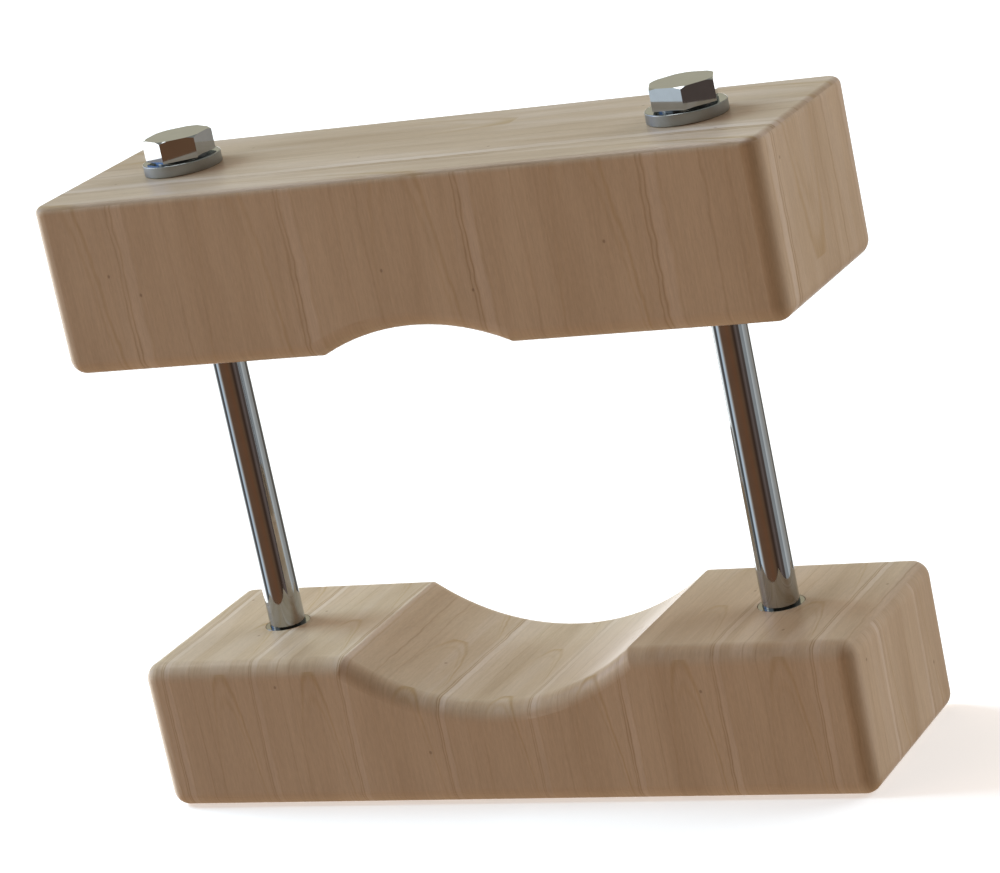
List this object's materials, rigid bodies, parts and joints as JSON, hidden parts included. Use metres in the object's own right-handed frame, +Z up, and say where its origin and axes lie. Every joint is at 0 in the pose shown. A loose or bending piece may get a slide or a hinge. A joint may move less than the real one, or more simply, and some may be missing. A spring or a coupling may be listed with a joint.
{
  "type": "saddle clamp",
  "caption": "Wooden clamp: a lower and an upper jaw block with facing round saddles, drawn together by long hex-head steel bolts, for gripping a round bar laid across it.",
  "frame": {"origin": "centre of the lower block's underside", "axes": "+X along the blocks' length, from the left bolt to the right bolt; +Y along the bar that the clamp holds; +Z up, along the bolts"},
  "size_m": [0.2, 0.06, 0.174],
  "materials": {
    "wood": "satin",
    "bolt_steel": "polished",
    "washer_steel": "polished",
    "sleeve_steel": "polished"
  },
  "bodies": {
    "base": {"lower_block": "wood", "left_insert": "sleeve_steel", "right_insert": "sleeve_steel"},
    "upper_jaw": {"upper_block": "wood"},
    "left_washer_ring": {"left_washer": "washer_steel"},
    "left_screw": {"left_bolt": "bolt_steel"},
    "right_washer_ring": {"right_washer": "washer_steel"},
    "right_screw": {"right_bolt": "bolt_steel"}
  },
  "joints": [
    {"name": "upper_jaw_slide", "type": "slide", "parent": "base", "child": "upper_jaw", "axis": [0, 0, 1], "range_m": [-0.0795, 0]},
    {"name": "left_bolt_rise", "type": "slide", "parent": "base", "child": "left_washer_ring", "axis": [0, 0, 1], "range_m": [0, 0.024]},
    {"name": "left_bolt_turn", "type": "hinge", "parent": "left_washer_ring", "child": "left_screw", "pos_m": [-0.0707, 0, 0], "axis": [0, 0, 1], "range_deg": [0, 5790]},
    {"name": "right_bolt_rise", "type": "slide", "parent": "base", "child": "right_washer_ring", "axis": [0, 0, 1], "range_m": [0, 0.024]},
    {"name": "right_bolt_turn", "type": "hinge", "parent": "right_washer_ring", "child": "right_screw", "pos_m": [0.0707, 0, 0], "axis": [0, 0, 1], "range_deg": [0, 5790]}
  ],
  "couplings": [
    {"joint": "left_bolt_turn", "follows": "left_bolt_rise", "rad_per_m": 4188.8},
    {"joint": "right_bolt_turn", "follows": "right_bolt_rise", "rad_per_m": 4188.8}
  ]
}
